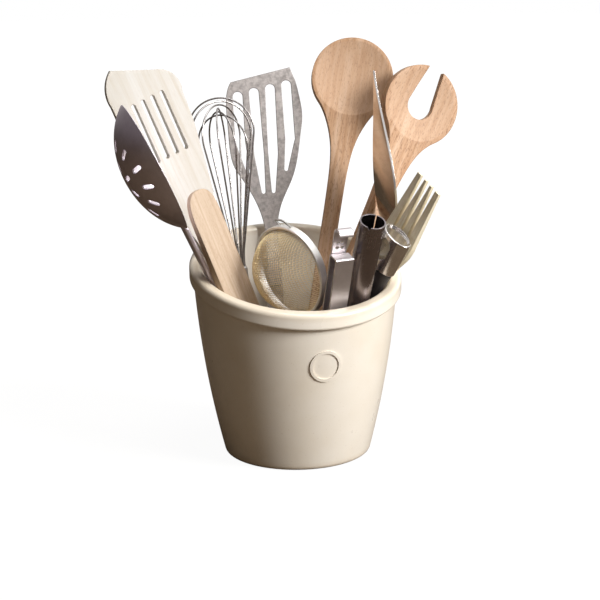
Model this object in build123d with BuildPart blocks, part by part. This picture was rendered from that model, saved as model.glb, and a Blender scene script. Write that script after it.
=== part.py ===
from build123d import *
import math
import os

# A glazed kitchen crock with a slanted rim, holding thirteen utensils that lift out.
# Millimetres, +Z up. The origin is the centre of the crock's base, and the low side of its rim,
# which carries the raised ring, faces -Y.

os.makedirs("parts", exist_ok=True)

# Crock
base_radius = 50.3
belly_radius = 61.0
belly_height = 50.0
shoulder_radius = 71.0
shoulder_height = 150.0
rim_height = 130.5
rim_slant = 14.0
rim_radius = 72.5
collar_height = 10.5
collar_edge_radius = 1.6
wall = 6.0
floor_height = 7.5
base_edge_radius = 3.5
floor_corner_radius = 8.0
lip_radius = 3.2
ring_height = 76.0
ring_radius = 10.8
ring_line = 1.9
ring_relief = 0.9

# Shared clearances
standing_gap = 0.3
overrun = 5.0

# Slotted turner, pale wood
turner_length = 281.5
turner_width = 50.0
turner_handle_width = 12.0
turner_handle_thick = 8.0
turner_tip_thick = 2.6
turner_slot_length = 43.0
turner_slot_width = 3.1
turner_slot_pitch = 7.4
turner_slot_drop = 48.0

# Perforated skimmer, steel
skimmer_length = 266.0
skimmer_bowl_length = 92.0
skimmer_bowl_width = 70.0
skimmer_bowl_depth = 21.0
skimmer_wall = 1.2
skimmer_handle_width = 14.0
skimmer_handle_thick = 3.4
skimmer_handle_lap = 9.0
skimmer_hole_width = 3.2
skimmer_hole_length = 7.6
skimmer_inner_ring = 11.0
skimmer_outer_ring = 25.0

# Narrow paddle, beech
paddle_length = 189.0
paddle_width = 24.8
paddle_handle_width = 12.0
paddle_thick = 6.0
paddle_tip_thick = 3.0
paddle_tip_run = 19.0

# Balloon whisk, steel
whisk_handle_length = 116.0
whisk_handle_radius = 5.4
whisk_shoulder_radius = 3.0
whisk_wire = 1.2
whisk_wire_seat = 6.0
whisk_wire_circle = 3.7
whisk_loops = 6
whisk_largest = 23.0
whisk_step = 0.42
whisk_flare_radius = 60.0
whisk_flare_angle = 12.5

# Fish slice, cast steel
slice_length = 253.0
slice_width = 52.0
slice_thick = 2.0
slice_neck_width = 8.4
slice_slant = 9.0
slice_slot_width = 7.0
slice_slot_pitch = 11.7
slice_slot_drop = 9.0
slice_handle_width = 12.0
slice_handle_thick = 4.0
slice_handle_length = 110.0
slice_handle_lap = 12.0

# Tea strainer, steel with a woven wire bowl
strainer_radius = 32.0
strainer_rim_width = 6.0
strainer_rim_thick = 2.0
strainer_depth = 23.5
strainer_mesh_thick = 0.7
strainer_handle_length = 93.0
strainer_handle_wire = 3.4
strainer_ear_wire = 1.5
strainer_ear_bend = 42.0
strainer_ear_width = 11.0
strainer_ear_height = 7.0

# Beech spoon
spoon_length = 284.0
spoon_head_radius = 29.0
spoon_handle_width = 11.6
spoon_handle_thick = 8.0
spoon_head_thick = 9.5
spoon_tip_thick = 5.0
spoon_recess_radius = 26.8
spoon_recess_depth = 3.2
spoon_join_angle = 43.0

# Beech server with a notch
server_length = 284.0
server_head_radius = 28.5
server_handle_width = 11.6
server_handle_thick = 8.0
server_head_thick = 8.0
server_tip_thick = 4.6
server_recess_radius = 25.5
server_recess_depth = 2.4
server_join_angle = 46.0
server_notch_radius = 10.0
server_notch_mouth = 5.3

# Cake server, polished steel with a cranked neck
blade_length = 110.0
blade_width = 40.0
blade_thick = 1.4
blade_crank = 20.5
blade_neck_width = 8.0
blade_handle_length = 149.0
blade_handle_width = 9.0
blade_handle_thick = 4.0
blade_tang = 12.0

# Four-tined fork, pale wood
fork_length = 211.5
fork_width = 31.0
fork_tip_width = 25.0
fork_handle_width = 8.6
fork_thick = 4.4
fork_tip_thick = 2.2
fork_tines = 4
fork_tine_length = 49.0
fork_gap_width = 4.6

# Zester, folded steel strap
zester_length = 146.0
zester_width = 13.0
zester_depth = 9.5
zester_sheet = 1.2
zester_head_width = 10.2
zester_head_height = 19.0
zester_head_overlap = 6.0
zester_lip_radius = 4.2
zester_hole = 2.2

# Apple corer, steel tube on a turned handle
corer_length = 178.0
corer_tube_length = 104.0
corer_tube_radius = 8.6
corer_wall = 0.9
corer_teeth = 22
corer_tooth_depth = 1.7
corer_seam = 0.8
corer_handle_radius = 7.2
corer_plug_length = 9.0

# Peeler with a black grip and a steel end cap
peeler_length = 177.0
peeler_cap_length = 26.0
peeler_cap_radius = 12.2
peeler_cap_thick = 16.0
peeler_cap_rim = 0.8
peeler_end_rim = 1.7
peeler_end_hollow = 1.4
peeler_grip_length = 66.0
peeler_grip_radius = 5.2
peeler_hole_width = 11.0
peeler_hole_length = 16.0
peeler_spigot_radius = 5.6
peeler_spigot_length = 6.0
peeler_fit = 0.15
peeler_blade_width = 4.0
peeler_blade_thick = 1.8
peeler_blade_seat = 12.0

# How each utensil stands in the crock: the foot's place on the floor in shares of the floor's radius,
# the lean from upright, the way it leans and the turn about its own axis, in degrees.
floor_radius = base_radius - wall
turner_stand = ((0.0721, 0.5611), 22.17, 178.49, 10.05)
skimmer_stand = ((-0.0861, 0.2832), 26.71, -162.95, -89.34)
paddle_stand = ((-0.1537, -0.5451), 19.95, 165.56, 30.34)
whisk_stand = ((-0.3786, 0.7478), 7.24, 139.99, -19.87)
slice_stand = ((0.0085, 0.7669), 9.84, 90.86, -11.83)
strainer_stand = ((0.1259, -0.3245), 8.18, -153.42, -62.66)
spoon_stand = ((-0.0324, -0.0748), 19.36, 42.93, -15.87)
server_stand = ((-0.4781, -0.3106), 30.02, 18.88, 3.76)
blade_stand = ((0.4813, -0.5587), 17.44, 17.24, -92.00)
fork_stand = ((0.2832, 0.7795), 31.20, -55.92, -71.05)
zester_stand = ((0.1195, -0.4913), 17.11, -81.24, 9.23)
corer_stand = ((0.5544, 0.1291), 25.22, -85.39, -34.21)
peeler_stand = ((0.1756, 0.7146), 32.84, -60.72, -71.76)


def stand_place(foot_piece, stand):
    """Leans an upright utensil over and slides it along its axis until its foot just clears the floor."""
    (share_x, share_y), lean, toward, turn = stand
    foot = Pos(share_x * floor_radius, share_y * floor_radius, floor_height)
    tilt = Rot(0, 0, toward) * Rot(0, lean, 0) * Rot(0, 0, turn - toward)
    lowest = (foot * tilt * foot_piece).bounding_box().min.Z
    slide = (floor_height + standing_gap - lowest) / math.cos(math.radians(lean))
    return foot * tilt * Pos(0, 0, slide)


def scaled(shares, half_width, length):
    """Points of an outline from shares of a half width and a length."""
    return [(across * half_width, up * length) for across, up in shares]


def slab(outline, front, back):
    """An upright plate: an outline in the XZ plane, cut by its front and back lines seen from the side."""
    with BuildPart() as plate:
        extrude(outline, amount=outline.bounding_box().size.Z, both=True)
        with BuildSketch(Plane.YZ):
            with BuildLine():
                Polyline(*front, *reversed(back), front[0])
            make_face()
        extrude(amount=outline.bounding_box().size.X, both=True, mode=Mode.INTERSECT)
    return plate.part


# Crock: a conical pot with slightly swollen sides, its rim cut on a slant under a raised collar
rim_normal = Vector(0, 0, 1).rotate(Axis.X, rim_slant)
rim_plane = Plane(origin=(0, 0, rim_height), x_dir=(1, 0, 0), z_dir=rim_normal)
collar_plane = rim_plane.offset(-collar_height)


def wall_profile(inset, low):
    """Section of the pot, drawn inset from its outer face and cut off at the height low."""
    with BuildSketch(Plane.XZ) as section:
        with BuildLine():
            side = ThreePointArc(
                (base_radius - inset, 0),
                (belly_radius - inset, belly_height),
                (shoulder_radius - inset, shoulder_height),
            )
            Polyline(side @ 1, (0, shoulder_height), (0, 0), side @ 0)
        make_face()
        with Locations((0, low)):
            Rectangle(2 * rim_radius, shoulder_height, align=(Align.CENTER, Align.MIN), mode=Mode.INTERSECT)
    return section.sketch


with BuildPart() as collar:
    with BuildSketch(Plane.XY):
        Circle(rim_radius)
    extrude(amount=shoulder_height + overrun)
    split(bisect_by=rim_plane, keep=Keep.BOTTOM)
    split(bisect_by=collar_plane, keep=Keep.TOP)
    fillet(collar.faces().sort_by(Axis.Z)[0].edges(), collar_edge_radius)

with BuildPart() as raised_ring:
    add(wall_profile(-ring_relief, 0))
    revolve(axis=Axis.Z)
    with BuildSketch(Plane.XZ.offset(base_radius)) as ring_sketch:
        with Locations((0, ring_height)):
            Circle(ring_radius)
            Circle(ring_radius - ring_line, mode=Mode.SUBTRACT)
    extrude(amount=rim_radius, mode=Mode.INTERSECT)

with BuildPart() as crock:
    add(wall_profile(0, 0))
    revolve(axis=Axis.Z)
    split(bisect_by=rim_plane, keep=Keep.BOTTOM)
    fillet(crock.edges().group_by(Axis.Z)[0], base_edge_radius)
    add(raised_ring.part)
    add(collar.part)
    add(wall_profile(wall, floor_height))
    revolve(axis=Axis.Z, mode=Mode.SUBTRACT)
    fillet(crock.faces().sort_by(Axis.Z)[-1].edges(), lip_radius)
    circles = crock.edges().filter_by(GeomType.CIRCLE)
    fillet(circles.filter_by_position(Axis.Z, floor_height / 2, wall + overrun), floor_corner_radius)

crock.part.label = "crock"
export_step(crock.part, "parts/crock.step")

# Slotted turner: a broad blade with a slanted end and four slots, on a flat handle
turner_side_shares = [(0.24, 0.44), (0.56, 0.60), (0.86, 0.75), (1.0, 0.88)]
turner_top_shares = [(1.0, 0.88), (0.95, 0.93), (0.52, 0.957)]
turner_corner_shares = [(-0.62, 1.0), (-0.90, 0.973), (-1.0, 0.92)]
turner_half = turner_width / 2

with BuildSketch(Plane.XZ) as turner_outline:
    with BuildLine():
        turner_right = Spline(*scaled(turner_side_shares, turner_half, turner_length),
                              tangents=[(0, 1), (0, 1)])
        turner_end = ThreePointArc(*scaled(turner_top_shares, turner_half, turner_length))
        turner_corner = ThreePointArc(*scaled(turner_corner_shares, turner_half, turner_length))
        Line(turner_end @ 1, turner_corner @ 0)
        turner_left = Spline(*scaled([(-a, u) for a, u in turner_side_shares], turner_half, turner_length),
                             tangents=[(0, 1), (0, 1)])
        Line(turner_corner @ 1, turner_left @ 1)
        Polyline(turner_left @ 0, (-turner_handle_width / 2, 0), (turner_handle_width / 2, 0),
                 turner_right @ 0)
    make_face()
    with Locations((0, turner_length - turner_slot_drop)):
        with GridLocations(turner_slot_pitch, 0, 4, 1):
            SlotOverall(turner_slot_length, turner_slot_width, rotation=90, mode=Mode.SUBTRACT)

turner_front = [(-turner_handle_thick / 2, 0), (-turner_handle_thick / 2, turner_length * 0.5),
                (-turner_tip_thick / 2, turner_length)]
turner_back = [(-y, z) for y, z in turner_front]

with BuildPart() as turner:
    add(slab(turner_outline.sketch, turner_front, turner_back))

turner.part = stand_place(turner.part, turner_stand) * turner.part
turner.part.label = "turner"
export_step(turner.part, "parts/turner.step")

# Skimmer: a perforated oval bowl, open towards +Y, on a flat bar handle
skimmer_rim_height = skimmer_length - skimmer_bowl_length / 2
bowl_ball_radius = (skimmer_bowl_width**2 / 4 + skimmer_bowl_depth**2) / (2 * skimmer_bowl_depth)
bowl_stretch = skimmer_bowl_length / skimmer_bowl_width


def skimmer_ball(inset):
    """Ball whose cap behind the rim plane is the bowl, stretched along the handle."""
    with BuildPart() as ball:
        Sphere(bowl_ball_radius - inset)
    stretched = scale(ball.part, by=(1, 1, bowl_stretch), mode=Mode.PRIVATE)
    return Pos(0, bowl_ball_radius - skimmer_bowl_depth, skimmer_rim_height) * stretched


with BuildPart() as skimmer_bowl:
    add(skimmer_ball(0))
    add(skimmer_ball(skimmer_wall), mode=Mode.SUBTRACT)
    split(bisect_by=Plane.XZ, keep=Keep.TOP)
    with BuildSketch(Plane.XZ):
        with Locations((0, skimmer_rim_height)):
            with PolarLocations(skimmer_inner_ring, 6, start_angle=30):
                SlotOverall(skimmer_hole_length, skimmer_hole_width)
            with PolarLocations(skimmer_outer_ring, 12):
                SlotOverall(skimmer_hole_length, skimmer_hole_width)
    extrude(amount=skimmer_bowl_width, mode=Mode.SUBTRACT)

handle_top = skimmer_length - skimmer_bowl_length + skimmer_handle_lap
with BuildPart() as skimmer_handle:
    with BuildSketch(Plane.XY):
        RectangleRounded(skimmer_handle_width, skimmer_handle_thick, skimmer_handle_thick / 3)
    extrude(amount=handle_top)
    add(skimmer_ball(0), mode=Mode.SUBTRACT)

skimmer_place = stand_place(skimmer_handle.part, skimmer_stand)
skimmer_bowl.part = skimmer_place * skimmer_bowl.part
skimmer_bowl.part.label = "skimmer_bowl"
export_step(skimmer_bowl.part, "parts/skimmer_bowl.step")
skimmer_handle.part = skimmer_place * skimmer_handle.part
skimmer_handle.part.label = "skimmer_handle"
export_step(skimmer_handle.part, "parts/skimmer_handle.step")

# Paddle: a narrow flat blade with a round end, on a slimmer handle
paddle_side_shares = [(0.48, 0.30), (0.75, 0.39), (1.0, 0.48)]
paddle_half = paddle_width / 2
with BuildSketch(Plane.XZ) as paddle_outline:
    with BuildLine():
        paddle_right = Spline(*scaled(paddle_side_shares, paddle_half, paddle_length),
                              tangents=[(0, 1), (0, 1)])
        paddle_edge = Line(paddle_right @ 1, (paddle_half, paddle_length - paddle_tip_run))
        Spline(paddle_edge @ 1, (0, paddle_length), (-paddle_half, paddle_length - paddle_tip_run),
               tangents=[(0, 1), (0, -1)])
        paddle_left = Spline(*scaled([(-a, u) for a, u in paddle_side_shares], paddle_half, paddle_length),
                             tangents=[(0, 1), (0, 1)])
        Line((-paddle_half, paddle_length - paddle_tip_run), paddle_left @ 1)
        Polyline(paddle_left @ 0, (-paddle_handle_width / 2, 0), (paddle_handle_width / 2, 0),
                 paddle_right @ 0)
    make_face()

paddle_front = [(-paddle_thick / 2, 0), (-paddle_thick / 2, paddle_length * 0.6),
                (-paddle_tip_thick / 2, paddle_length)]
paddle_back = [(-y, z) for y, z in paddle_front]
with BuildPart() as paddle:
    add(slab(paddle_outline.sketch, paddle_front, paddle_back))

paddle.part = stand_place(paddle.part, paddle_stand) * paddle.part
paddle.part.label = "paddle"
export_step(paddle.part, "parts/paddle.step")

# Whisk: wire loops seated in the end of a round steel handle, each loop a little lower than the last
with BuildPart() as whisk_handle:
    Cylinder(whisk_handle_radius, whisk_handle_length, align=(Align.CENTER, Align.CENTER, Align.MIN))
    fillet(whisk_handle.edges().group_by(Axis.Z)[-1], whisk_shoulder_radius / 2)
    fillet(whisk_handle.edges().group_by(Axis.Z)[0], whisk_shoulder_radius)
    with Locations((0, 0, whisk_handle_length)):
        with PolarLocations(whisk_wire_circle, 2 * whisk_loops):
            Hole(whisk_wire / 2, depth=whisk_wire_seat)


def whisk_loop(size):
    """One wire loop: straight into the handle, a flare, a straight run and a round top of radius size."""
    flare = math.radians(whisk_flare_angle)
    flare_out = whisk_flare_radius * (1 - math.cos(flare))
    run = (size * math.cos(flare) - whisk_wire_circle - flare_out) / math.sin(flare)
    seat = (whisk_wire_circle, whisk_handle_length - whisk_wire_seat)
    start = (whisk_wire_circle, whisk_handle_length)
    bend = (whisk_wire_circle + flare_out, whisk_handle_length + whisk_flare_radius * math.sin(flare))
    bend_middle = (
        whisk_wire_circle + whisk_flare_radius * (1 - math.cos(flare / 2)),
        whisk_handle_length + whisk_flare_radius * math.sin(flare / 2),
    )
    shoulder = (bend[0] + run * math.sin(flare), bend[1] + run * math.cos(flare))
    centre = shoulder[1] + size * math.sin(flare)
    apex = (0, centre + size)
    over = (size * math.sin(math.radians(60)), centre + size * math.cos(math.radians(60)))
    with BuildPart() as loop:
        with BuildLine(Plane.XZ) as route:
            Line(seat, start)
            ThreePointArc(start, bend_middle, bend)
            Line(bend, shoulder)
            ThreePointArc(shoulder, over, apex)
        with BuildSketch(Plane.XY.offset(seat[1])) as wire:
            with Locations((seat[0], 0)):
                Circle(whisk_wire / 2)
        sweep(wire.sketch, path=route.wires()[0])
        mirror(about=Plane.YZ)
    return loop.part


whisk_place = stand_place(whisk_handle.part, whisk_stand)
for index in range(whisk_loops):
    with BuildPart() as whisk_wire_loop:
        add(whisk_loop(whisk_largest - index * whisk_step))
    turned = Rot(0, 0, index * 180 / whisk_loops) * whisk_wire_loop.part
    whisk_wire_loop.part = whisk_place * turned
    whisk_wire_loop.part.label = f"whisk_loop_{index + 1}"
    export_step(whisk_wire_loop.part, f"parts/whisk_loop_{index + 1}.step")
whisk_handle.part = whisk_place * whisk_handle.part
whisk_handle.part.label = "whisk_handle"
export_step(whisk_handle.part, "parts/whisk_handle.step")

# Fish slice: a flat head with a slanted end and four tapering slots, and a bar handle lapped behind it
slice_half = slice_width / 2
slice_side_shares = [(0.165, 0.53), (0.21, 0.575), (0.34, 0.62), (0.70, 0.694), (1.0, 0.82), (0.94, 0.96)]
slice_slot_shares = [(0.86, 0.76, 0.62, 0.655), (1.02, 0.80, 0.78, 0.715)]
slice_end_drop = slice_width * math.sin(math.radians(slice_slant))
slice_low = slice_handle_length - slice_handle_lap
with BuildSketch(Plane.XZ) as slice_outline:
    with BuildLine():
        slice_right = Spline(*scaled(slice_side_shares, slice_half, slice_length),
                             tangents=[(0, 1), (-0.2, 1)])
        slice_left = Spline(*scaled([(-a, u) for a, u in slice_side_shares[:-1]],
                                    slice_half, slice_length), tangents=[(0, 1), (0, 1)])
        slice_corner = (-slice_half * 0.84, slice_length - slice_end_drop)
        Spline(slice_left @ 1, slice_corner, tangents=[(0, 1), (0.8, 1)])
        Polyline(slice_corner, (slice_half * 0.8, slice_length), slice_right @ 1)
        Polyline(slice_left @ 0, (-slice_neck_width / 2, slice_low), (slice_neck_width / 2, slice_low),
                 slice_right @ 0)
    make_face()
    for index in range(4):
        slot_x = (index - 1.5) * slice_slot_pitch
        slot_top = slice_length - slice_slot_drop - slice_end_drop * (3 - index) / 4 - slice_slot_width / 2
        waist_share, waist_height, foot_share, foot_height = slice_slot_shares[index in (0, 3)]
        slot_run = [
            (slot_x, slot_top, slice_slot_width / 2),
            (slot_x * waist_share, slice_length * waist_height, slice_slot_width / 2),
            (slot_x * foot_share, slice_length * foot_height, slice_slot_width / 5),
        ]
        for (x1, z1, r1), (x2, z2, r2) in zip(slot_run, slot_run[1:]):
            with BuildLine():
                Polyline((x1 - r1, z1), (x1 + r1, z1), (x2 + r2, z2), (x2 - r2, z2), (x1 - r1, z1))
            make_face(mode=Mode.SUBTRACT)
        for x1, z1, r1 in slot_run:
            with Locations((x1, z1)):
                Circle(r1, mode=Mode.SUBTRACT)

with BuildPart() as slice_head:
    extrude(slice_outline.sketch, amount=slice_thick / 2, both=True)

with BuildPart() as slice_handle:
    with BuildSketch(Plane.XY):
        with Locations((0, slice_thick / 2)):
            Rectangle(slice_handle_width, slice_handle_thick, align=(Align.CENTER, Align.MIN))
    extrude(amount=slice_handle_length)
    fillet(slice_handle.edges().filter_by(Axis.Z), slice_handle_thick / 4)

slice_place = stand_place(slice_handle.part, slice_stand)
slice_head.part = slice_place * slice_head.part
slice_head.part.label = "slice_head"
export_step(slice_head.part, "parts/slice_head.step")
slice_handle.part = slice_place * slice_handle.part
slice_handle.part.label = "slice_handle"
export_step(slice_handle.part, "parts/slice_handle.step")

# Tea strainer: a wire bowl bulging towards -Y in a flat steel rim, with a bent wire rest and a wire handle
strainer_centre = strainer_handle_length + strainer_radius
strainer_ball = (strainer_radius**2 + strainer_depth**2) / (2 * strainer_depth)
rim_front = Plane.XZ.offset(strainer_rim_width / 2)

with BuildPart() as strainer_rim:
    with BuildSketch(rim_front):
        with Locations((0, strainer_centre)):
            Circle(strainer_radius)
            Circle(strainer_radius - strainer_rim_thick, mode=Mode.SUBTRACT)
    extrude(amount=-strainer_rim_width)
    fillet(strainer_rim.edges(), strainer_rim_thick / 3)

mesh_radius = strainer_radius - strainer_rim_thick
mesh_ball = (mesh_radius**2 + strainer_depth**2) / (2 * strainer_depth)
with BuildPart() as strainer_mesh:
    with Locations((0, mesh_ball - strainer_depth, strainer_centre)):
        Sphere(mesh_ball)
        Sphere(mesh_ball - strainer_mesh_thick, mode=Mode.SUBTRACT)
    split(bisect_by=Plane.XZ, keep=Keep.TOP)

with BuildPart() as strainer_handle:
    with Locations((0, 0, 0)):
        Cylinder(strainer_handle_wire / 2, strainer_handle_length,
                 align=(Align.CENTER, Align.CENTER, Align.MIN))
    fillet(strainer_handle.edges().group_by(Axis.Z)[0], strainer_handle_wire / 3)
    with Locations((0, 0, strainer_centre)):
        Cylinder(strainer_radius, strainer_handle_wire, rotation=(90, 0, 0), mode=Mode.SUBTRACT)

ear_angle = math.asin(strainer_ear_width / 2 / strainer_radius)
ear_foot = strainer_radius * math.cos(ear_angle) + strainer_ear_wire / 2
with BuildPart() as strainer_ear:
    with BuildLine(Plane.XZ) as ear_route:
        ear_points = [
            (-strainer_ear_width / 2, strainer_centre + ear_foot - strainer_ear_wire),
            (-strainer_ear_width * 0.36, strainer_centre + strainer_radius + strainer_ear_height),
            (strainer_ear_width * 0.36, strainer_centre + strainer_radius + strainer_ear_height),
            (strainer_ear_width / 2, strainer_centre + ear_foot - strainer_ear_wire),
        ]
        FilletPolyline(*ear_points, radius=strainer_ear_width * 0.24)
    with BuildSketch(Plane(origin=ear_route.line @ 0, z_dir=ear_route.line % 0)) as ear_wire:
        Circle(strainer_ear_wire / 2)
    sweep(ear_wire.sketch, path=ear_route.wires()[0])

ear_hinge = Pos(0, 0, strainer_centre + ear_foot)
strainer_ear.part = ear_hinge * Rot(strainer_ear_bend, 0, 0) * ear_hinge.inverse() * strainer_ear.part
with BuildPart() as ear_cut:
    add(strainer_ear.part)
    with Locations((0, 0, strainer_centre)):
        Cylinder(strainer_radius, 3 * strainer_rim_width, rotation=(90, 0, 0), mode=Mode.SUBTRACT)
strainer_ear.part = ear_cut.part

strainer_place = stand_place(strainer_handle.part, strainer_stand)
strainer_rim.part = strainer_place * strainer_rim.part
strainer_rim.part.label = "strainer_rim"
export_step(strainer_rim.part, "parts/strainer_rim.step")
strainer_mesh.part = strainer_place * strainer_mesh.part
strainer_mesh.part.label = "strainer_mesh"
export_step(strainer_mesh.part, "parts/strainer_mesh.step")
strainer_ear.part = strainer_place * strainer_ear.part
strainer_ear.part.label = "strainer_ear"
export_step(strainer_ear.part, "parts/strainer_ear.step")
strainer_handle.part = strainer_place * strainer_handle.part
strainer_handle.part.label = "strainer_handle"
export_step(strainer_handle.part, "parts/strainer_handle.step")


# Spoon and server: round heads with shallow hollows on straight handles, both turned from one outline
def paddle_head(length, head_radius, handle_width, neck_shares, join_angle):
    """Outline of a handle that flares into a round head, met at join_angle below the head's middle."""
    centre = length - head_radius
    join = math.radians(join_angle)
    meet = (head_radius * math.cos(join), centre - head_radius * math.sin(join))
    neck = [(a * head_radius, u * length) for a, u in neck_shares]
    with BuildSketch(Plane.XZ) as head:
        with BuildLine():
            side = Spline((handle_width / 2, neck_shares[0][1] * length), *neck[1:], meet,
                          tangents=[(0, 1), (math.sin(join), math.cos(join))])
            ThreePointArc(meet, (head_radius, centre), (0, length))
            Polyline((0, length), (0, 0), (handle_width / 2, 0), side @ 0)
        make_face()
        mirror(about=Plane.YZ)
    return head.sketch


spoon_neck_shares = [(0, 0.44), (0.205, 0.62), (0.235, 0.69), (0.34, 0.748)]
spoon_outline = paddle_head(
    spoon_length, spoon_head_radius, spoon_handle_width, spoon_neck_shares, spoon_join_angle
)
spoon_front = [(-spoon_handle_thick / 2, 0), (-spoon_handle_thick / 2, spoon_length)]
spoon_back = [
    (spoon_handle_thick / 2, 0),
    (spoon_handle_thick / 2, spoon_length * 0.72),
    (spoon_head_thick - spoon_handle_thick / 2, spoon_length * 0.86),
    (spoon_tip_thick - spoon_handle_thick / 2, spoon_length),
]
spoon_hollow = (spoon_recess_radius**2 + spoon_recess_depth**2) / (2 * spoon_recess_depth)
with BuildPart() as spoon:
    add(slab(spoon_outline, spoon_front, spoon_back))
    hollow_y = -spoon_handle_thick / 2 - spoon_hollow + spoon_recess_depth
    with Locations((0, hollow_y, spoon_length - spoon_head_radius)):
        Sphere(spoon_hollow, mode=Mode.SUBTRACT)

spoon.part = stand_place(spoon.part, spoon_stand) * spoon.part
spoon.part.label = "spoon"
export_step(spoon.part, "parts/spoon.step")

server_neck_shares = [(0, 0.44), (0.215, 0.60), (0.275, 0.71), (0.345, 0.755), (0.46, 0.792)]
server_outline = paddle_head(
    server_length, server_head_radius, server_handle_width, server_neck_shares, server_join_angle
)
server_front = [(-server_handle_thick / 2, 0), (-server_handle_thick / 2, server_length)]
server_back = [
    (server_handle_thick / 2, 0),
    (server_handle_thick / 2, server_length * 0.84),
    (server_tip_thick - server_handle_thick / 2, server_length),
]
server_hollow = (server_recess_radius**2 + server_recess_depth**2) / (2 * server_recess_depth)
server_centre = server_length - server_head_radius
with BuildPart() as server:
    add(slab(server_outline, server_front, server_back))
    with Locations((0, -server_handle_thick / 2 - server_hollow + server_recess_depth, server_centre)):
        Sphere(server_hollow, mode=Mode.SUBTRACT)
    with BuildSketch(Plane.XZ.offset(-server_head_thick)):
        with Locations((0, server_centre)):
            Circle(server_notch_radius)
        with BuildLine():
            Polyline(
                (-server_notch_radius, server_centre),
                (server_notch_radius, server_centre),
                (server_notch_mouth, server_length + overrun),
                (-server_notch_mouth, server_length + overrun),
                (-server_notch_radius, server_centre),
            )
        make_face()
    extrude(amount=2 * server_head_thick, mode=Mode.SUBTRACT)

server.part = stand_place(server.part, server_stand) * server.part
server.part.label = "server"
export_step(server.part, "parts/server.step")

# Cake server: a pointed blade cranked at its neck, its tang riveted flat on a steel handle
blade_normal = Vector(0, -1, 0).rotate(Axis.X, blade_crank)
blade_plane = Plane(origin=(0, 0, blade_handle_length), x_dir=(1, 0, 0), z_dir=blade_normal)
blade_side_shares = [(0.22, 0.0), (0.78, 0.08), (1.0, 0.19), (0.62, 0.62), (0.03, 1.0)]
with BuildPart() as blade_server:
    with BuildSketch(blade_plane) as blade_outline:
        with BuildLine():
            blade_right = Spline(*scaled(blade_side_shares, blade_width / 2, blade_length))
            blade_left = Spline(*scaled([(-a, u) for a, u in blade_side_shares],
                                        blade_width / 2, blade_length))
            Line(blade_right @ 0, blade_left @ 0)
            Line(blade_right @ 1, blade_left @ 1)
        make_face()
    extrude(amount=blade_thick / 2, both=True)
    with BuildSketch(Plane.XZ):
        with Locations((0, blade_handle_length)):
            Rectangle(blade_neck_width, blade_tang, align=(Align.CENTER, Align.MAX))
    extrude(amount=blade_thick / 2, both=True)

with BuildPart() as blade_handle:
    with BuildSketch(Plane.XY):
        with Locations((0, blade_thick / 2)):
            Rectangle(blade_handle_width, blade_handle_thick, align=(Align.CENTER, Align.MIN))
    extrude(amount=blade_handle_length - blade_tang / 6)
    fillet(blade_handle.edges().filter_by(Axis.Z), blade_handle_thick / 4)

blade_place = stand_place(blade_handle.part, blade_stand)
blade_server.part = blade_place * blade_server.part
blade_server.part.label = "blade_server"
export_step(blade_server.part, "parts/blade_server.step")
blade_handle.part = blade_place * blade_handle.part
blade_handle.part.label = "blade_handle"
export_step(blade_handle.part, "parts/blade_handle.step")

# Fork: a flat pale wooden fork with four tapering tines
fork_half = fork_width / 2
fork_neck_shares = [(0.31, 0.45), (0.34, 0.60), (0.80, 0.72), (1.0, 0.79)]
fork_root = fork_length - fork_tine_length
with BuildSketch(Plane.XZ) as fork_outline:
    with BuildLine():
        fork_side = Spline((fork_handle_width / 2, fork_length * 0.45),
                           *scaled(fork_neck_shares[1:], fork_half, fork_length), tangents=[(0, 1), (0, 1)])
        Polyline(fork_side @ 1, (fork_tip_width / 2, fork_length), (0, fork_length), (0, 0),
                 (fork_handle_width / 2, 0), fork_side @ 0)
    make_face()
    mirror(about=Plane.YZ)
    for index in range(fork_tines - 1):
        gap_share = (index - (fork_tines - 2) / 2) / fork_tines
        with BuildLine():
            Polyline(
                (gap_share * fork_width - fork_gap_width / 8, fork_root),
                (gap_share * fork_width + fork_gap_width / 8, fork_root),
                (gap_share * fork_tip_width + fork_gap_width / 2, fork_length + overrun),
                (gap_share * fork_tip_width - fork_gap_width / 2, fork_length + overrun),
                (gap_share * fork_width - fork_gap_width / 8, fork_root),
            )
        make_face(mode=Mode.SUBTRACT)

fork_front = [(-fork_thick / 2, 0), (-fork_thick / 2, fork_root), (-fork_tip_thick / 2, fork_length)]
fork_back = [(-y, z) for y, z in fork_front]
with BuildPart() as fork:
    add(slab(fork_outline.sketch, fork_front, fork_back))

fork.part = stand_place(fork.part, fork_stand) * fork.part
fork.part.label = "fork"
export_step(fork.part, "parts/fork.step")

# Zester: a steel strap folded into a flat channel, with a small holed plate that ends in a curled lip
with BuildPart() as zester_body:
    Box(zester_width, zester_depth, zester_length, align=(Align.CENTER, Align.CENTER, Align.MIN))
    fillet(zester_body.edges().filter_by(Axis.X), zester_sheet)
    with BuildSketch(Plane.YZ) as zester_hollow:
        with Locations((0, zester_length / 2)):
            RectangleRounded(zester_depth - 2 * zester_sheet, zester_length - 2 * zester_sheet,
                             zester_sheet / 2)
    extrude(amount=zester_width, both=True, mode=Mode.SUBTRACT)

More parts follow.
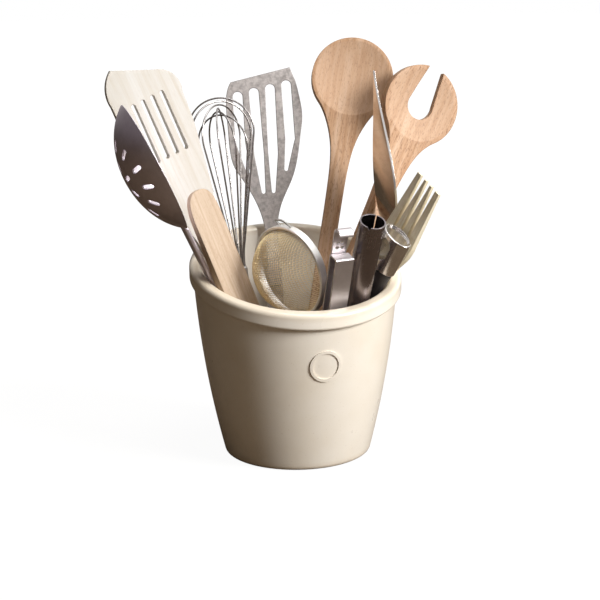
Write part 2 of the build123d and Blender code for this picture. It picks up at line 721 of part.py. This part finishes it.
lip_centre = zester_length + zester_head_height - zester_lip_radius
with BuildPart() as zester_head:
    with BuildSketch(Plane.XZ.offset(-zester_depth / 2)) as zester_plate:
        with Locations((0, zester_length - zester_head_overlap)):
            Rectangle(zester_head_width, zester_head_overlap + zester_head_height - zester_lip_radius,
                      align=(Align.CENTER, Align.MIN))
        with Locations((0, zester_length + zester_head_height * 0.3)):
            with GridLocations(zester_hole * 1.6, zester_hole * 1.6, 2, 2):
                Circle(zester_hole / 2, mode=Mode.SUBTRACT)
    extrude(amount=-zester_sheet)
    with BuildSketch(Plane.YZ) as lip_section:
        with Locations((zester_depth / 2 + zester_sheet - zester_lip_radius, lip_centre)):
            Circle(zester_lip_radius)
            Circle(zester_lip_radius - zester_sheet, mode=Mode.SUBTRACT)
            Rectangle(2 * zester_lip_radius, 2 * zester_lip_radius, align=(Align.CENTER, Align.MAX),
                      mode=Mode.SUBTRACT)
    extrude(amount=zester_head_width / 2, both=True)

zester_place = stand_place(zester_body.part, zester_stand)
zester_body.part = zester_place * zester_body.part
zester_body.part.label = "zester_body"
export_step(zester_body.part, "parts/zester_body.step")
zester_head.part = zester_place * zester_head.part
zester_head.part.label = "zester_head"
export_step(zester_head.part, "parts/zester_head.step")

# Apple corer: a thin steel tube with a toothed mouth and an open seam behind, pressed on a turned handle
tube_low = corer_length - corer_tube_length
with BuildPart() as corer_tube:
    with BuildSketch(Plane.XY.offset(tube_low)):
        Circle(corer_tube_radius)
        Circle(corer_tube_radius - corer_wall, mode=Mode.SUBTRACT)
    extrude(amount=corer_tube_length)
    with Locations((0, corer_tube_radius, tube_low + corer_plug_length)):
        Box(corer_seam, corer_tube_radius, corer_tube_length, align=(Align.CENTER, Align.CENTER, Align.MIN),
            mode=Mode.SUBTRACT)
    tooth_width = 2 * math.pi * corer_tube_radius / corer_teeth
    with PolarLocations(0, corer_teeth):
        with BuildSketch(Plane.XZ):
            with BuildLine():
                Polyline(
                    (-tooth_width / 2, corer_length),
                    (0, corer_length - corer_tooth_depth),
                    (tooth_width / 2, corer_length),
                    (-tooth_width / 2, corer_length),
                )
            make_face()
    extrude(amount=corer_tube_radius + overrun, mode=Mode.SUBTRACT)

with BuildPart() as corer_handle:
    Cylinder(corer_handle_radius, tube_low, align=(Align.CENTER, Align.CENTER, Align.MIN))
    fillet(corer_handle.edges().group_by(Axis.Z)[0], corer_handle_radius / 3)
    with Locations((0, 0, tube_low)):
        Cylinder(corer_tube_radius - corer_wall, corer_plug_length,
                 align=(Align.CENTER, Align.CENTER, Align.MIN))

corer_place = stand_place(corer_handle.part, corer_stand)
corer_tube.part = corer_place * corer_tube.part
corer_tube.part.label = "corer_tube"
export_step(corer_tube.part, "parts/corer_tube.step")
corer_handle.part = corer_place * corer_handle.part
corer_handle.part.label = "corer_handle"
export_step(corer_handle.part, "parts/corer_handle.step")

# Peeler: a steel end cap with a hanging hole, a tapering black grip and a narrow blade
cap_low = peeler_length - peeler_cap_length
grip_low = cap_low - peeler_grip_length
cap_flat = peeler_cap_thick / 2 / peeler_cap_radius


def grip_oval(radius, height):
    """Oval section of the grip and its cap."""
    with BuildSketch(Plane.XY.offset(height)) as oval:
        Ellipse(radius, radius * cap_flat)
    return oval.sketch


with BuildPart() as peeler_cap:
    extrude(grip_oval(peeler_cap_radius, cap_low), amount=peeler_cap_length)
    fillet(peeler_cap.edges().group_by(Axis.Z)[-1], peeler_cap_rim)
    extrude(grip_oval(peeler_cap_radius - peeler_end_rim, peeler_length - peeler_end_hollow),
            amount=peeler_end_hollow, mode=Mode.SUBTRACT)
    extrude(grip_oval(peeler_spigot_radius + peeler_fit, cap_low), amount=peeler_spigot_length,
            mode=Mode.SUBTRACT)
    with BuildSketch(Plane.XZ.offset(peeler_cap_thick)):
        with Locations((0, peeler_length - peeler_cap_length * 0.44)):
            SlotOverall(peeler_hole_length, peeler_hole_width, rotation=90)
    extrude(amount=-2 * peeler_cap_thick, mode=Mode.SUBTRACT)

with BuildPart() as peeler_grip:
    add(grip_oval(peeler_cap_radius * 0.93, cap_low))
    add(grip_oval(peeler_grip_radius, grip_low))
    loft()
    extrude(grip_oval(peeler_spigot_radius, cap_low), amount=peeler_spigot_length - peeler_fit)
    with Locations((0, 0, grip_low)):
        Box(peeler_blade_width, peeler_blade_thick, peeler_blade_seat,
            align=(Align.CENTER, Align.CENTER, Align.MIN), mode=Mode.SUBTRACT)

with BuildPart() as peeler_blade:
    Box(peeler_blade_width, peeler_blade_thick, grip_low + peeler_blade_seat,
        align=(Align.CENTER, Align.CENTER, Align.MIN))
    fillet(peeler_blade.edges().group_by(Axis.Z)[0].filter_by(Axis.Y), peeler_blade_width / 3)

peeler_place = stand_place(peeler_blade.part, peeler_stand)
peeler_cap.part = peeler_place * peeler_cap.part
peeler_cap.part.label = "peeler_cap"
export_step(peeler_cap.part, "parts/peeler_cap.step")
peeler_grip.part = peeler_place * peeler_grip.part
peeler_grip.part.label = "peeler_grip"
export_step(peeler_grip.part, "parts/peeler_grip.step")
peeler_blade.part = peeler_place * peeler_blade.part
peeler_blade.part.label = "peeler_blade"
export_step(peeler_blade.part, "parts/peeler_blade.step")
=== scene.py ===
import bpy
import bmesh
import math
from mathutils import Matrix, Vector


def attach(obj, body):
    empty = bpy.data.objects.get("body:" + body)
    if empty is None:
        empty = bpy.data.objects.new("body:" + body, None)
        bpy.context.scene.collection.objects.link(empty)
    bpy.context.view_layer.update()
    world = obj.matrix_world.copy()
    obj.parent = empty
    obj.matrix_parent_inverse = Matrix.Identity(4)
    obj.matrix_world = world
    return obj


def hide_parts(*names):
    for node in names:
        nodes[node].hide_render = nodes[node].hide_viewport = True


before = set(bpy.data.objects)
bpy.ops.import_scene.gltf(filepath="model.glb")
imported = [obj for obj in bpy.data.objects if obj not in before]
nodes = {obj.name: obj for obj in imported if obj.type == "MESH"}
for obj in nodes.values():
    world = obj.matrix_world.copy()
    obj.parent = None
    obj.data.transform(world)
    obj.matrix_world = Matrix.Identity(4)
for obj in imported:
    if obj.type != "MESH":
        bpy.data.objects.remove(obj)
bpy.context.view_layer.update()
scene = bpy.context.scene
scene.view_settings.view_transform = "Standard"

# Where each utensil stands: origin in metres, lean, direction of the lean and turn in degrees, as in the CAD
stands = {
    "turner": ((0.00205, 0.02489, 0.01032), 22.17, 178.49, 10.05),
    "skimmer": ((-0.00468, 0.01228, 0.00930), 26.71, -162.95, -89.34),
    "paddle": ((-0.00768, -0.02392, 0.00997), 19.95, 165.56, 30.34),
    "whisk": ((-0.01683, 0.03318, 0.00813), 7.24, 139.99, -19.87),
    "slice": ((0.00037, 0.03420, 0.00883), 9.84, 90.86, -11.83),
    "strainer": ((0.00553, -0.01440, 0.00789), 8.18, -153.42, -62.66),
    "spoon": ((-0.00081, -0.00273, 0.00993), 19.36, 42.93, -15.87),
    "server": ((-0.01920, -0.01308, 0.01112), 30.02, 18.88, 3.76),
    "blade": ((0.02192, -0.02456, 0.00949), 17.44, 17.24, -92.0),
    "fork": ((0.01348, 0.03315, 0.01025), 31.2, -55.92, -71.05),
    "zester": ((0.00536, -0.02219, 0.00891), 17.11, -81.24, 9.23),
    "corer": ((0.02466, 0.00451, 0.01007), 25.22, -85.39, -34.21),
    "peeler": ((0.00808, 0.03112, 0.00845), 32.84, -60.72, -71.76),
}


def place(name):
    """Matrix from a utensil's own upright frame to the shared frame."""
    origin, lean, toward, turn = stands[name]
    rz = Matrix.Rotation(math.radians(toward), 4, "Z")
    ry = Matrix.Rotation(math.radians(lean), 4, "Y")
    rt = Matrix.Rotation(math.radians(turn - toward), 4, "Z")
    return Matrix.Translation(Vector(origin)) @ rz @ ry @ rt


# Camera at the photograph's viewing angle, with its focal length and shifts in pixels of the picture
picture_width = 600.0
focal_length = 1528.0
shift_right = 4.4
shift_up = -9.8
sensor_width = 36.0
camera_distance = 1.05
camera_roll = math.radians(-0.8)
elevation = math.radians(13.0)
azimuth = math.radians(-17.0)
target = Vector((0, 0, 0.113))
back = Vector((
    math.sin(azimuth) * math.cos(elevation),
    -math.cos(azimuth) * math.cos(elevation),
    math.sin(elevation),
))
camera_data = bpy.data.cameras.new("camera")
camera = bpy.data.objects.new("camera", camera_data)
scene.collection.objects.link(camera)
camera.location = target + back * camera_distance
aimed = back.to_track_quat("Z", "Y").to_matrix()
camera.rotation_euler = (aimed @ Matrix.Rotation(camera_roll, 3, "Z")).to_euler()
camera_data.sensor_width = sensor_width
camera_data.lens = focal_length / picture_width * sensor_width
camera_data.shift_x = shift_right / picture_width
camera_data.shift_y = shift_up / picture_width
scene.camera = camera


# Node helpers
class Graph:
    """Short calls for building one node tree."""

    def __init__(self, tree):
        self.tree = tree
        self.tree.nodes.clear()

    def node(self, kind, **settings):
        node = self.tree.nodes.new(kind)
        for key, value in settings.items():
            setattr(node, key, value)
        return node

    def link(self, a, b):
        self.tree.links.new(a, b)

    def feed(self, socket, value):
        """Gives a socket a number, a colour or a link."""
        if isinstance(value, (int, float)):
            socket.default_value = value
        elif isinstance(value, tuple):
            socket.default_value = value + (1,)
        else:
            self.link(value, socket)

    def coords(self, stand=None, stretch=(1, 1, 1)):
        """Object coordinates turned into a utensil's own upright frame, then stretched."""
        source = self.node("ShaderNodeTexCoord").outputs["Object"]
        if stand is not None:
            turned = self.node("ShaderNodeMapping", vector_type="TEXTURE")
            m = place(stand)
            turned.inputs["Location"].default_value = m.to_translation()
            turned.inputs["Rotation"].default_value = m.to_euler()
            self.link(source, turned.inputs["Vector"])
            source = turned.outputs[0]
        scaled = self.node("ShaderNodeMapping")
        scaled.inputs["Scale"].default_value = stretch
        self.link(source, scaled.inputs["Vector"])
        return scaled.outputs[0]

    def noise(self, vector, scale, detail=3.0, rough=0.5, distortion=0.0):
        node = self.node("ShaderNodeTexNoise")
        node.inputs["Scale"].default_value = scale
        node.inputs["Detail"].default_value = detail
        node.inputs["Roughness"].default_value = rough
        node.inputs["Distortion"].default_value = distortion
        self.link(vector, node.inputs["Vector"])
        return node.outputs[0]

    def ramp(self, factor, stops):
        """Colours along a factor, given as pairs of position and colour."""
        node = self.node("ShaderNodeValToRGB")
        elements = node.color_ramp.elements
        elements[0].position, elements[0].color = stops[0][0], stops[0][1] + (1,)
        elements[1].position, elements[1].color = stops[-1][0], stops[-1][1] + (1,)
        for position, colour in stops[1:-1]:
            elements.new(position).color = colour + (1,)
        self.link(factor, node.inputs[0])
        return node.outputs[0]

    def scalar(self, factor, low, high, start=0.0, end=1.0):
        """Maps a factor from start..end to low..high."""
        node = self.node("ShaderNodeMapRange")
        for name, value in (("From Min", start), ("From Max", end), ("To Min", low), ("To Max", high)):
            node.inputs[name].default_value = value
        self.link(factor, node.inputs["Value"])
        return node.outputs[0]

    def mixed(self, factor, a, b):
        """Colour a, turning into colour b as the factor goes to one."""
        node = self.node("ShaderNodeMix", data_type="RGBA")
        for value, socket in ((factor, node.inputs[0]), (a, node.inputs[6]), (b, node.inputs[7])):
            self.feed(socket, value)
        return node.outputs[2]

    def maths(self, operation, a, b=0.0, c=0.0):
        node = self.node("ShaderNodeMath", operation=operation)
        for value, socket in zip((a, b, c), node.inputs):
            self.feed(socket, value)
        return node.outputs[0]

    def split(self, vector):
        node = self.node("ShaderNodeSeparateXYZ")
        self.link(vector, node.inputs[0])
        return node.outputs

    def along(self, vector, direction):
        """How far a vector reaches along a direction."""
        node = self.node("ShaderNodeVectorMath", operation="DOT_PRODUCT")
        node.inputs[1].default_value = direction
        self.link(vector, node.inputs[0])
        return node.outputs["Value"]


class Surface(Graph):
    """A material with one shader, whose sockets are set by name."""

    def __init__(self, name):
        self.material = bpy.data.materials.new(name)
        self.material.use_nodes = True
        super().__init__(self.material.node_tree)
        self.out = self.node("ShaderNodeOutputMaterial")
        self.shader = self.node("ShaderNodeBsdfPrincipled")
        self.link(self.shader.outputs[0], self.out.inputs[0])

    def rounded(self, radius):
        """Normal of the surface with its edges rounded."""
        bevel = self.node("ShaderNodeBevel", samples=6)
        bevel.inputs["Radius"].default_value = radius
        return bevel.outputs[0]

    def bump(self, heights, distance, strength, radius=None):
        node = self.node("ShaderNodeBump")
        node.inputs["Distance"].default_value = distance
        node.inputs["Strength"].default_value = strength
        self.link(heights, node.inputs["Height"])
        if radius is not None:
            self.link(self.rounded(radius), node.inputs["Normal"])
        self.link(node.outputs[0], self.shader.inputs["Normal"])

    def set(self, name, value):
        self.feed(self.shader.inputs[name], value)

    def edge_shade_share(self, radius):
        """One near an edge of the solid, and zero on its faces: the mask for shade painted along the edges."""
        turned = self.node("ShaderNodeVectorMath", operation="DOT_PRODUCT")
        self.link(self.rounded(radius), turned.inputs[0])
        self.link(self.node("ShaderNodeNewGeometry").outputs["Normal"], turned.inputs[1])
        return self.scalar(turned.outputs["Value"], 1.0, 0.0, 0.85, 0.985)


def new_object(name, mesh):
    obj = bpy.data.objects.new(name, mesh)
    scene.collection.objects.link(obj)
    return obj


# Floor: white to the camera, with the object's shadow faint in it, and dim to everything else
floor_radius = 6.0
floor_drop = 0.0002
floor_glow = 1.06
shadow_colour = (0.86, 0.85, 0.83)
dim_colour = (0.13, 0.095, 0.065)
floor_mesh = bpy.data.meshes.new("floor")
floor_bm = bmesh.new()
bmesh.ops.create_circle(floor_bm, cap_ends=True, segments=96, radius=floor_radius)
floor_bm.to_mesh(floor_mesh)
floor_bm.free()
floor = new_object("floor", floor_mesh)
floor.location = (0, 0, -floor_drop)
floor_material = bpy.data.materials.new("floor")
floor_material.use_nodes = True
g = Graph(floor_material.node_tree)
seen = g.node("ShaderNodeLightPath").outputs["Is Camera Ray"]
far = g.node("ShaderNodeVectorMath", operation="LENGTH")
g.link(g.coords(), far.inputs[0])
share = g.maths("MULTIPLY", seen, g.scalar(far.outputs["Value"], 0.90, 1.0, 0.25, 0.9))
diffuse = g.node("ShaderNodeBsdfDiffuse")
g.feed(diffuse.inputs["Color"], g.mixed(seen, dim_colour, shadow_colour))
glow = g.node("ShaderNodeEmission")
glow.inputs["Strength"].default_value = floor_glow
mix = g.node("ShaderNodeMixShader")
g.feed(mix.inputs[0], share)
g.link(diffuse.outputs[0], mix.inputs[1])
g.link(glow.outputs[0], mix.inputs[2])
g.link(mix.outputs[0], g.node("ShaderNodeOutputMaterial").inputs[0])
floor_mesh.materials.append(floor_material)

# Room: white to the camera, a dim warm fill for matte surfaces, and for polished ones a dark room with
# white walls above, to the right and behind
to_right = (math.cos(azimuth), math.sin(azimuth), 0.0)
to_back = (-math.sin(azimuth), math.cos(azimuth), 0.0)
mirrored_room = [
    (0.30, (0.15, 0.13, 0.14)),
    (0.46, (0.16, 0.145, 0.145)),
    (0.56, (0.34, 0.32, 0.315)),
    (0.66, (0.75, 0.73, 0.72)),
    (0.80, (1.2, 1.2, 1.2)),
]
matte_room = [
    (0.25, (0.030, 0.019, 0.011)),
    (0.60, (0.100, 0.080, 0.060)),
    (0.90, (0.30, 0.28, 0.26)),
]
world = bpy.data.worlds.new("studio")
scene.world = world
world.use_nodes = True
g = Graph(world.node_tree)
ways = g.node("ShaderNodeLightPath").outputs
look = g.node("ShaderNodeTexCoord").outputs["Generated"]
facing = g.maths("MULTIPLY_ADD", g.along(look, to_right), 0.40, g.maths("MULTIPLY", g.along(look, to_back), 0.30))
facing = g.maths("MULTIPLY_ADD", g.along(look, (0, 0, 1)), 0.55, facing)
mirrored = g.ramp(g.maths("MULTIPLY_ADD", facing, 0.5, 0.5), mirrored_room)
matte = g.ramp(g.maths("MULTIPLY_ADD", facing, 0.5, 0.5), matte_room)
room = g.mixed(ways["Is Glossy Ray"], matte, mirrored)
white = g.maths("MAXIMUM", ways["Is Camera Ray"], ways["Is Transmission Ray"])
background = g.node("ShaderNodeBackground")
g.feed(background.inputs["Color"], g.mixed(white, room, (1.0, 1.0, 1.0)))
g.link(background.outputs[0], g.node("ShaderNodeOutputWorld").inputs[0])


# Lights
def area_light(name, position, aim, size, power, colour):
    data = bpy.data.lights.new(name, "AREA")
    data.shape = "DISK"
    data.size = size
    data.energy = power
    data.color = colour
    obj = bpy.data.objects.new(name, data)
    scene.collection.objects.link(obj)
    obj.location = position
    obj.rotation_euler = (Vector(position) - Vector(aim)).to_track_quat("Z", "Y").to_euler()


area_light("key", (1.0, -1.1, 0.80), (0, 0, 0.12), 0.75, 36.0, (1.0, 0.985, 0.965))
area_light("top", (0.25, -0.15, 1.5), (0, 0, 0.15), 0.7, 9.0, (1.0, 1.0, 1.0))
area_light("fill", (-0.75, -1.1, 0.7), (0, 0, 0.15), 0.5, 0.7, (1.0, 0.86, 0.70))

# The crock's slanted rim: height on the crock's axis in metres, and slant
rim_height = 0.1305
rim_slant = math.radians(14.0)


# Glazed stoneware: cream glaze, thinner and tanner on the rim and at the foot, gently uneven
def glaze_material():
    t = Surface("glaze")
    v = t.coords()
    xyz = t.split(v)
    across = t.maths("MULTIPLY", xyz["Y"], -math.sin(rim_slant))
    level = t.maths("MULTIPLY_ADD", xyz["Z"], math.cos(rim_slant), across)
    rim = rim_height * math.cos(rim_slant)
    cloud = t.noise(v, 18.0, 4.0, 0.55)
    fine = t.noise(v, 420.0, 2.0, 0.6)
    cream = [(0.30, (0.835, 0.765, 0.650)), (0.52, (0.875, 0.820, 0.725)), (0.75, (0.905, 0.860, 0.780))]
    body = t.ramp(cloud, cream)
    wobble = t.maths("MULTIPLY_ADD", t.noise(v, 60.0, 3.0), 0.0035, -0.0017)
    edge = t.scalar(t.maths("ADD", level, wobble), 0.0, 1.0, rim - 0.0055, rim + 0.0004)
    thin = t.mixed(t.maths("MULTIPLY", edge, 0.55), body, (0.700, 0.580, 0.410))
    foot = t.scalar(t.maths("ADD", xyz["Z"], wobble), 0.45, 0.0, 0.001, 0.006)
    worn = t.mixed(foot, thin, (0.640, 0.530, 0.380))
    speck = t.scalar(t.noise(v, 900.0, 1.0, 0.5), 0.0, 1.0, 0.70, 0.78)
    t.set("Base Color", t.mixed(t.maths("MULTIPLY", speck, 0.22), worn, (0.45, 0.34, 0.22)))
    t.set("Roughness", t.scalar(cloud, 0.36, 0.26, 0.3, 0.7))
    t.set("Coat Weight", 0.25)
    t.set("Coat Roughness", 0.18)
    rings = t.noise(t.coords(stretch=(4.0, 4.0, 90.0)), 1.0, 2.0, 0.5)
    height = t.maths("MULTIPLY_ADD", rings, 0.7, t.maths("MULTIPLY", fine, 0.10))
    t.bump(height, 0.00022, 0.8)
    return t.material


# Beech and pale wood: grain and short dark rays along the utensil's length, a round hollow lightened as painted
# light, and painted shade darkening the edges
def wood_material(name, stand, light, mid, dark, ray, ray_share, recess=None):
    """The recess is the middle height and the radius of a round head's hollow, in the utensil's own frame; the
    hollow is lightened there as painted light.
    """
    t = Surface(name)
    rings = t.noise(t.coords(stand, (1.0, 1.0, 0.035)), 330.0, 5.0, 0.62, 0.25)
    broad = t.noise(t.coords(stand, (1.0, 1.0, 0.08)), 60.0, 3.0, 0.5, 0.4)
    flecks = t.noise(t.coords(stand, (1.0, 1.0, 0.18)), 1900.0, 1.5, 0.5)
    base = t.ramp(rings, [(0.34, dark), (0.50, mid), (0.66, light)])
    base = t.mixed(t.scalar(broad, 0.0, 0.50, 0.40, 0.70), base, dark)
    spots = t.scalar(flecks, 0.0, ray_share, 0.58, 0.66)
    colour = t.mixed(spots, base, ray)
    # Painted light: the round hollow on the front is lightened towards the light grain colour, in place of the
    # light it catches
    if recess is not None:
        middle, radius = recess
        own = t.split(t.coords(stand))
        rise = t.maths("SUBTRACT", own["Z"], middle)
        squares = t.maths("ADD", t.maths("MULTIPLY", own["X"], own["X"]), t.maths("MULTIPLY", rise, rise))
        inside = t.scalar(t.maths("SQRT", squares), 1.0, 0.0, radius - 0.0006, radius + 0.0002)
        front = t.scalar(own["Y"], 1.0, 0.0, -0.0004, 0.0004)
        hollow = t.maths("MULTIPLY", inside, front)
        colour = t.mixed(t.maths("MULTIPLY", hollow, 0.30), colour, light)
    # Painted shade: the colour darkens towards the dark grain colour near the edges of the solid
    t.set("Base Color", t.mixed(t.maths("MULTIPLY", t.edge_shade_share(0.0016), 0.45), colour, dark))
    t.set("Roughness", t.scalar(rings, 0.62, 0.50))
    t.set("Specular IOR Level", 0.35)
    height = t.maths("SUBTRACT", t.maths("MULTIPLY", rings, 0.5), t.maths("MULTIPLY", spots, 0.8))
    t.bump(height, 0.00010, 0.7, 0.0009)
    return t.material


# Steel: clouded and finely drawn along the utensil's length, mottled where it is cast, with painted shade
# darkening its edges
def metal_material(name, stand, tint, rough, scratch, mottled=0.0, bevel=0.0004, cloudy=70.0, edge=0.0):
    t = Surface(name)
    drawn = t.noise(t.coords(stand, (1.0, 1.0, 0.03)), 900.0, 4.0, 0.6)
    cloud = t.noise(t.coords(stand), cloudy, 5.0, 0.6)
    dark = tuple(c * (0.86 - 0.35 * mottled) for c in tint)
    colour = t.ramp(cloud, [(0.32, dark), (0.60, tint)])
    # Painted shade: the colour darkens towards the edges of the solid
    if edge:
        edge_shade_tint = tuple(c * 0.3 for c in tint)
        colour = t.mixed(t.maths("MULTIPLY", t.edge_shade_share(0.0011), edge), colour, edge_shade_tint)
    t.set("Base Color", colour)
    t.set("Metallic", 1.0)
    spread = t.maths("MULTIPLY_ADD", cloud, 0.12 + 0.25 * mottled, rough - 0.06)
    t.set("Roughness", t.maths("MULTIPLY_ADD", drawn, scratch * 0.5, spread))
    height = t.maths("MULTIPLY_ADD", cloud, mottled * 3.0, t.maths("MULTIPLY", drawn, scratch))
    t.bump(height, 0.00008, 0.6, bevel)
    return t.material


# Black plastic: a little lighter in places, with a fine grain
def plastic_material(name, stand):
    t = Surface(name)
    grain = t.noise(t.coords(stand), 2600.0, 2.0, 0.6)
    cloud = t.noise(t.coords(stand), 60.0, 3.0)
    t.set("Base Color", t.ramp(cloud, [(0.3, (0.022, 0.020, 0.021)), (0.7, (0.038, 0.034, 0.034))]))
    t.set("Roughness", t.scalar(cloud, 0.36, 0.50))
    t.bump(grain, 0.00006, 0.5, 0.0006)
    return t.material


# Woven wire: brass with a golden cloud and fine uneven shine
def brass_material(name, stand):
    t = Surface(name)
    cloud = t.noise(t.coords(stand), 90.0, 4.0, 0.6)
    fleck = t.noise(t.coords(stand), 1200.0, 2.0, 0.6)
    golden = [(0.30, (0.60, 0.46, 0.24)), (0.52, (0.84, 0.68, 0.40)), (0.75, (0.92, 0.80, 0.54))]
    t.set("Base Color", t.ramp(cloud, golden))
    t.set("Metallic", 0.85)
    t.set("Roughness", t.scalar(fleck, 0.30, 0.48, 0.3, 0.7))
    return t.material


def assign(node, material):
    """Gives every face of a piece one material."""
    materials = nodes[node].data.materials
    if not materials:
        materials.append(material)
    for index in range(len(materials)):
        materials[index] = material


# Woods: the light, middle and dark of the grain, and the short rays across it
beech = {
    "light": (0.590, 0.410, 0.285),
    "mid": (0.540, 0.345, 0.215),
    "dark": (0.420, 0.235, 0.125),
    "ray": (0.200, 0.090, 0.045),
}
blond = {
    "light": (0.590, 0.475, 0.365),
    "mid": (0.540, 0.420, 0.310),
    "dark": (0.450, 0.325, 0.225),
    "ray": (0.350, 0.220, 0.140),
}
pale = {
    "light": (0.690, 0.680, 0.650),
    "mid": (0.665, 0.645, 0.605),
    "dark": (0.610, 0.570, 0.500),
    "ray": (0.540, 0.450, 0.340),
}
straw = {
    "light": (0.920, 0.870, 0.700),
    "mid": (0.880, 0.810, 0.620),
    "dark": (0.800, 0.690, 0.470),
    "ray": (0.620, 0.460, 0.260),
}

# Middle height and radius of each round head's hollow, in metres, where the wood is lightened as painted light
spoon_recess = (0.2550, 0.0268)
server_recess = (0.2555, 0.0255)

# Tints of the steels
skimmer_tint = (0.74, 0.68, 0.74)
cast_tint = (0.60, 0.565, 0.550)
wire_tint = (0.36, 0.34, 0.33)
tube_tint = (0.62, 0.60, 0.58)
strainer_tint = (0.84, 0.82, 0.79)
blade_tint = (0.80, 0.78, 0.76)
zester_tint = (0.60, 0.565, 0.58)
# The corer's own steel tone, darkened as painted shade in place of the dark room it reflects
corer_steel_and_shade_tint = (0.29, 0.255, 0.262)
cap_tint = (0.78, 0.75, 0.73)
peeler_tint = (0.50, 0.49, 0.48)

assign("crock", glaze_material())
assign("spoon", wood_material("spoon_beech", "spoon", ray_share=0.50, recess=spoon_recess, **beech))
assign("server", wood_material("server_beech", "server", ray_share=0.70, recess=server_recess, **beech))
assign("paddle", wood_material("paddle_beech", "paddle", ray_share=0.35, **blond))
assign("turner", wood_material("turner_pale", "turner", ray_share=0.12, **pale))
assign("fork", wood_material("fork_straw", "fork", ray_share=0.20, **straw))
for node in ("skimmer_bowl", "skimmer_handle"):
    assign(node, metal_material(node + "_steel", "skimmer", skimmer_tint, 0.40, 0.05, bevel=0.0006))
for node in ("slice_head", "slice_handle"):
    assign(node, metal_material(node + "_cast", "slice", cast_tint, 0.44, 0.12, 0.60, 0.0007, 420.0, 0.80))
wire_steel = metal_material("wire_steel", "whisk", wire_tint, 0.26, 0.06)
for index in range(1, 7):
    assign(f"whisk_loop_{index}", wire_steel)
assign("whisk_handle", metal_material("whisk_tube_steel", "whisk", tube_tint, 0.25, 0.25))
# Painted shade: the ear and the handle are the rim's steel painted darker
for node, shade in (("strainer_rim", 1.0), ("strainer_ear", 0.45), ("strainer_handle", 0.8)):
    tint = tuple(shade * channel for channel in strainer_tint)
    assign(node, metal_material(node + "_steel", "strainer", tint, 0.34, 0.10, 0.1, 0.0003))
for node in ("blade_server", "blade_handle"):
    assign(node, metal_material(node + "_steel", "blade", blade_tint, 0.12, 0.01, bevel=0.0001))
for node in ("zester_body", "zester_head"):
    assign(node, metal_material(node + "_steel", "zester", zester_tint, 0.34, 0.30, 0.05, 0.0006, edge=0.4))
assign("corer_tube", metal_material("corer_steel", "corer", corer_steel_and_shade_tint, 0.24, 0.10, bevel=0.0002))
assign("corer_handle", plastic_material("corer_black", "corer"))
assign("peeler_grip", plastic_material("peeler_black", "peeler"))
assign("peeler_cap", metal_material("peeler_cap_steel", "peeler", cap_tint, 0.20, 0.03, bevel=0.0006, edge=0.3))
assign("peeler_blade", metal_material("peeler_blade_steel", "peeler", peeler_tint, 0.28, 0.25))

# Tea strainer bowl, in metres: radius and depth of its mouth, the height of its middle on the handle, how far the
# wires lie inside the shell's outer face, and the weave's reach, pitch, wire radius, waviness and turn
bowl_radius = 0.0300
bowl_depth = 0.0235
bowl_height = 0.125
bowl_inset = 0.00035
weave_reach = 0.0296
weave_pitch = 0.00145
wire_radius = 0.00020
wire_lift = 0.00018
weave_turn = math.radians(12)
steps_per_pitch = 3
wire_corners = ((1, 0), (0, 1), (-1, 0), (0, -1))


# Two sets of thin wires woven over and under each other, in place of the plain shell
def woven_bowl():
    ball = (bowl_radius * bowl_radius + bowl_depth * bowl_depth) / (2 * bowl_depth)
    centre_y = ball - bowl_depth
    radius = ball - bowl_inset
    sin, cos = math.sin(weave_turn), math.cos(weave_turn)
    bm = bmesh.new()
    count = int(weave_reach / weave_pitch)
    for crossing, along in ((False, Vector((-sin, 0, cos))), (True, Vector((cos, 0, sin)))):
        for k in range(-count, count + 1):
            u = k * weave_pitch
            reach = math.sqrt(max(weave_reach * weave_reach - u * u, 0))
            steps = max(4, int(2 * reach / weave_pitch * steps_per_pitch))
            side = (1 if k % 2 else -1) * (-1 if crossing else 1)
            rows = []
            for i in range(steps + 1):
                w = -reach + 2 * reach * i / steps
                a, b = (w, u) if crossing else (u, w)
                wave = wire_lift * side * math.cos(math.pi * w / weave_pitch)
                x = a * cos - b * sin
                z = a * sin + b * cos
                y = centre_y - math.sqrt(max(radius * radius - a * a - b * b, 0))
                normal = Vector((x, y - centre_y, z)).normalized()
                point = Vector((x, y, z)) + normal * wave
                sideways = along.cross(normal).normalized()
                rows.append([
                    bm.verts.new(point + (normal * outward + sideways * across) * wire_radius)
                    for across, outward in wire_corners
                ])
            for a_row, b_row in zip(rows, rows[1:]):
                for j in range(4):
                    bm.faces.new((a_row[j], a_row[(j + 1) % 4], b_row[(j + 1) % 4], b_row[j]))
            bm.faces.new(reversed(rows[0]))
            bm.faces.new(rows[-1])
    mesh = bpy.data.meshes.new("woven_bowl")
    bmesh.ops.recalc_face_normals(bm, faces=bm.faces)
    bm.to_mesh(mesh)
    bm.free()
    for polygon in mesh.polygons:
        polygon.use_smooth = True
    mesh.transform(place("strainer") @ Matrix.Translation(Vector((0, 0, bowl_height))))
    return new_object("woven_bowl", mesh)


woven = woven_bowl()
woven.data.materials.append(brass_material("brass_wire", "strainer"))
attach(woven, "strainer")
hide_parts("strainer_mesh")
